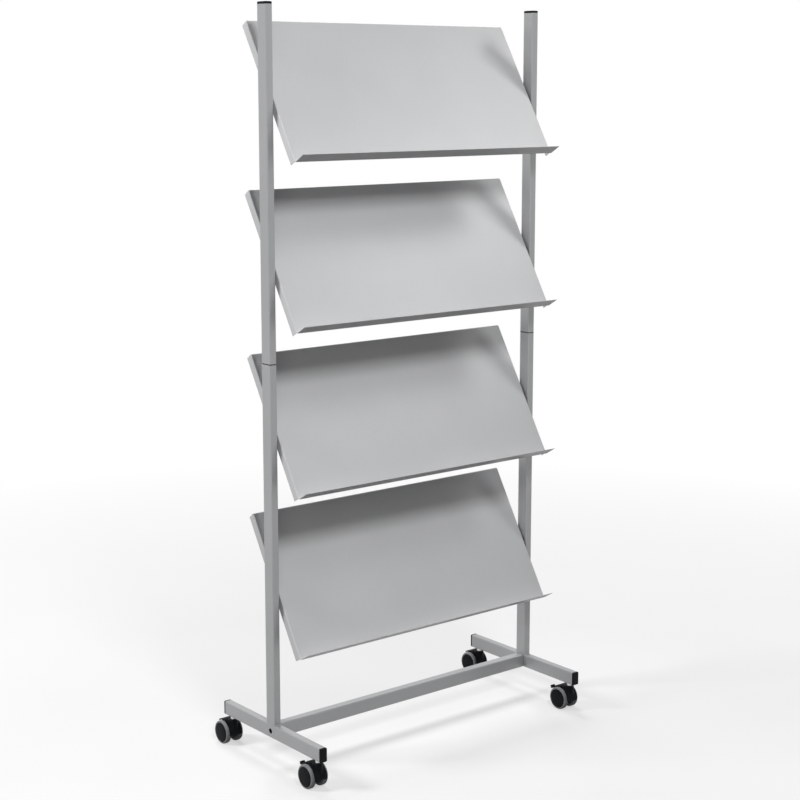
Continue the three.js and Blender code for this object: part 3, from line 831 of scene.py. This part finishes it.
def lever():
    """Knuckle, trunnions, tab and ribbed pedal, about the knuckle's axis."""
    top = PEDAL_LIFT + PEDAL_TALL / 2
    tab = bar_x(0, LEVER_LENGTH, -LEVER_THICK / 2, LEVER_THICK / 2, LEVER_WIDTH)
    pedal = bar_x(LEVER_LENGTH - PEDAL_LENGTH, LEVER_LENGTH, top - PEDAL_TALL, top, LEVER_WIDTH)
    ribs = [rod_x(GRIP_RIB, LEVER_WIDTH - 2 * GRIP_RIB, LEVER_LENGTH - GRIP_PITCH * (i + GRIP_START), top,
                  GRIP_SIDES) for i in range(GRIP_RIBS)]
    body = combined(tab, "UNION", pedal, *ribs)
    body.transform(Matrix.Rotation(-LEVER_DROP, 4, "X"))
    knuckle = rod_x(KNUCKLE_DIAMETER, LEVER_WIDTH)
    trunnions = rod_x(TRUNNION_DIAMETER, TRUNNION_SPAN)
    return moulded(combined(body, "UNION", knuckle, trunnions), LEVER_VOXEL)


def build_wheels(label, side, spot):
    """Both wheels of a caster, each a tread on its hub."""
    for which, out in (("outer", side), ("inner", -side)):
        turn = (spot @ Matrix.Translation((out * WHEEL_INNER_X, TRAIL, WHEEL_RADIUS))
                @ Matrix.Rotation(out * pi / 2, 4, "Y"))
        for part, mesh, slot in (("tyre", tyre(), "soft_tread"), ("hub", hub(), "caster_plastic")):
            mesh.transform(turn)
            piece(f"{label}_{which}_{part}", mesh, slot, f"{label}_{which}_wheel",
                  f"{label}_caster_{which}_wheel")


def build_brake(label, spot):
    """The lever of a front caster, in its housing's slot."""
    pedal = lever()
    pedal.transform(spot @ Matrix.Translation((0, *about_axle(KNUCKLE_REACH, KNUCKLE_ANGLE))))
    body = f"{label}_brake_lever"
    piece(f"{label}_brake_pedal", pedal, "caster_plastic", body, body, flat_faces=False)


def build_casters():
    """Each caster: stem in the foot, housing on the stem, wheels on the axle, a lever in front."""
    for end, _ in ENDS:
        for name, side in SIDES:
            label = f"{end}_{name}"
            caster = f"{label}_caster"
            middle = middle_of(f"{caster}_stem")
            spot = Matrix.Translation((middle.x, middle.y, 0))
            shell = housing(end == "front")
            shell.transform(spot)
            piece(f"{caster}_hood", shell, "caster_plastic", caster, f"{caster}_housing", flat_faces=False)
            pin = stem()
            pin.transform(spot)
            piece(f"{caster}_swivel_pin", pin, "zinc_steel", "frame", f"{caster}_stem")
            build_wheels(label, side, spot)
            if end == "front":
                build_brake(label, spot)


def finish_kept_nodes():
    """Zinc on the axles, which stay as they are inside the wheels."""
    for node in frame["nodes"].values():
        if not node.hide_render:
            node.data.materials.clear()
            node.data.materials.append(MATERIALS["zinc_steel"])


# Studio

CAMERA_PLACE = Vector((-2.6994, -3.3282, 1.6776))
CAMERA_AZIMUTH = radians(-38.948)
CAMERA_DOWN = radians(9.53)
CAMERA_LENS = 76.417
CAMERA_SENSOR = 36
CAMERA_SHIFT = -0.04
STUDIO_CENTRE = Vector((0, 0, 1.0))
FLOOR_RADIUS = 14
FLOOR_NEAR = 1.0  # the floor starts to pale at this distance, in metres
FLOOR_FAR = 3.2  # and is white at this one
FLOOR_WHITE = 0.55  # share of white under the rack
FLOOR_TONES = ((0.60, 0.60, 0.60), (0.62, 0.62, 0.62))
FLOOR_CLOUDS = 2
FLOOR_BOUNCE = (0.05, 0.05, 0.05)
AMBIENT = 0.02

# Each lamp: degrees right of the front, degrees up, metres away, metres wide, watts, seen in gloss
LAMPS = {
    "key": (-20, 37, 4.2, 0.8, 106, False),
    "right": (58, 42, 3.6, 1.0, 20, True),
    "front_fill": (-44, 8, 3.4, 1.6, 20, False),
    "left_rear": (-115, 33, 5.8, 1.5, 310, False),
    "back": (161, 56, 5.1, 1.9, 190, False),
}


def build_camera():
    """A long lens looking a little down from the left front."""
    data = bpy.data.cameras.new("camera")
    data.lens = CAMERA_LENS
    data.sensor_width = CAMERA_SENSOR
    data.shift_y = CAMERA_SHIFT
    camera = bpy.data.objects.new("camera", data)
    camera.location = CAMERA_PLACE
    back = Vector((sin(CAMERA_AZIMUTH) * cos(CAMERA_DOWN), -cos(CAMERA_AZIMUTH) * cos(CAMERA_DOWN),
                   sin(CAMERA_DOWN)))
    camera.rotation_euler = (-back).to_track_quat("-Z", "Y").to_euler()
    bpy.context.scene.collection.objects.link(camera)
    bpy.context.scene.camera = camera


def soft_light(name, azimuth, elevation, distance, size, power, glossy):
    """A square light looking at the middle of the rack, by degrees right of its front and above level."""
    a, e = radians(azimuth), radians(elevation)
    away = Vector((sin(a) * cos(e), -cos(a) * cos(e), sin(e)))
    data = bpy.data.lights.new(name, "AREA")
    data.shape = "SQUARE"
    data.size = size
    data.energy = power
    light = bpy.data.objects.new(name, data)
    light.location = STUDIO_CENTRE + away * distance
    light.visible_glossy = glossy
    light.rotation_euler = (-away).to_track_quat("-Z", "Y").to_euler()
    bpy.context.scene.collection.objects.link(light)


def seen_directly(nodes, links):
    """One for what the camera, a reflection or clear material shows, and nought for bounced light."""
    path = nodes.new("ShaderNodeLightPath")
    total = path.outputs["Is Camera Ray"]
    for ray in ("Is Glossy Ray", "Is Transmission Ray"):
        made = nodes.new("ShaderNodeMath")
        made.operation = "MAXIMUM"
        links.new(total, made.inputs[0])
        links.new(path.outputs[ray], made.inputs[1])
        total = made.outputs[0]
    return total


def build_world():
    """White behind the rack, and a dim even light from all round."""
    world = bpy.data.worlds.new("studio")
    world.use_nodes = True
    nodes, links = world.node_tree.nodes, world.node_tree.links
    level = ramp(nodes, links, seen_directly(nodes, links), AMBIENT, 1.0, 0.0, 1.0)
    links.new(level, nodes["Background"].inputs["Strength"])
    nodes["Background"].inputs["Color"].default_value = (1, 1, 1, 1)
    bpy.context.scene.world = world


def floor_material():
    """Pale floor that keeps the rack's shadow, and runs out to white."""
    material = bpy.data.materials.new("pale_floor")
    material.use_nodes = True
    nodes, links = material.node_tree.nodes, material.node_tree.links
    nodes.remove(nodes["Principled BSDF"])
    pale = nodes.new("ShaderNodeBsdfDiffuse")
    tone = ramp(nodes, links, noise(nodes, links, FLOOR_CLOUDS), *FLOOR_TONES)
    links.new(tone, pale.inputs["Color"])
    dim = nodes.new("ShaderNodeBsdfDiffuse")
    dim.inputs["Color"].default_value = (*FLOOR_BOUNCE, 1)
    white = nodes.new("ShaderNodeEmission")
    place = nodes.new("ShaderNodeTexCoord")
    distance = nodes.new("ShaderNodeVectorMath")
    distance.operation = "LENGTH"
    links.new(place.outputs["Object"], distance.inputs[0])
    far = ramp(nodes, links, distance.outputs["Value"], FLOOR_WHITE, 1.0, FLOOR_NEAR, FLOOR_FAR)
    shown_mix = nodes.new("ShaderNodeMixShader")
    links.new(far, shown_mix.inputs[0])
    links.new(pale.outputs[0], shown_mix.inputs[1])
    links.new(white.outputs[0], shown_mix.inputs[2])
    whole = nodes.new("ShaderNodeMixShader")
    links.new(seen_directly(nodes, links), whole.inputs[0])
    links.new(dim.outputs[0], whole.inputs[1])
    links.new(shown_mix.outputs[0], whole.inputs[2])
    links.new(whole.outputs[0], nodes["Material Output"].inputs["Surface"])
    return material


def build_floor():
    """A wide round floor under the casters."""
    mesh = bmesh.new()
    bmesh.ops.create_circle(mesh, cap_ends=True, radius=FLOOR_RADIUS, segments=ROUND_SIDES)
    floor = shown(mesh, "floor")
    floor.data.materials.append(floor_material())


def build_studio():
    """Camera, floor, white surroundings and soft lights."""
    build_camera()
    build_world()
    build_floor()
    for name, lamp in LAMPS.items():
        soft_light(name, *lamp)
    bpy.context.scene.view_settings.view_transform = "Standard"


build_frame()
build_shelves()
build_casters()
finish_kept_nodes()
build_studio()

bpy.context.view_layer.update()
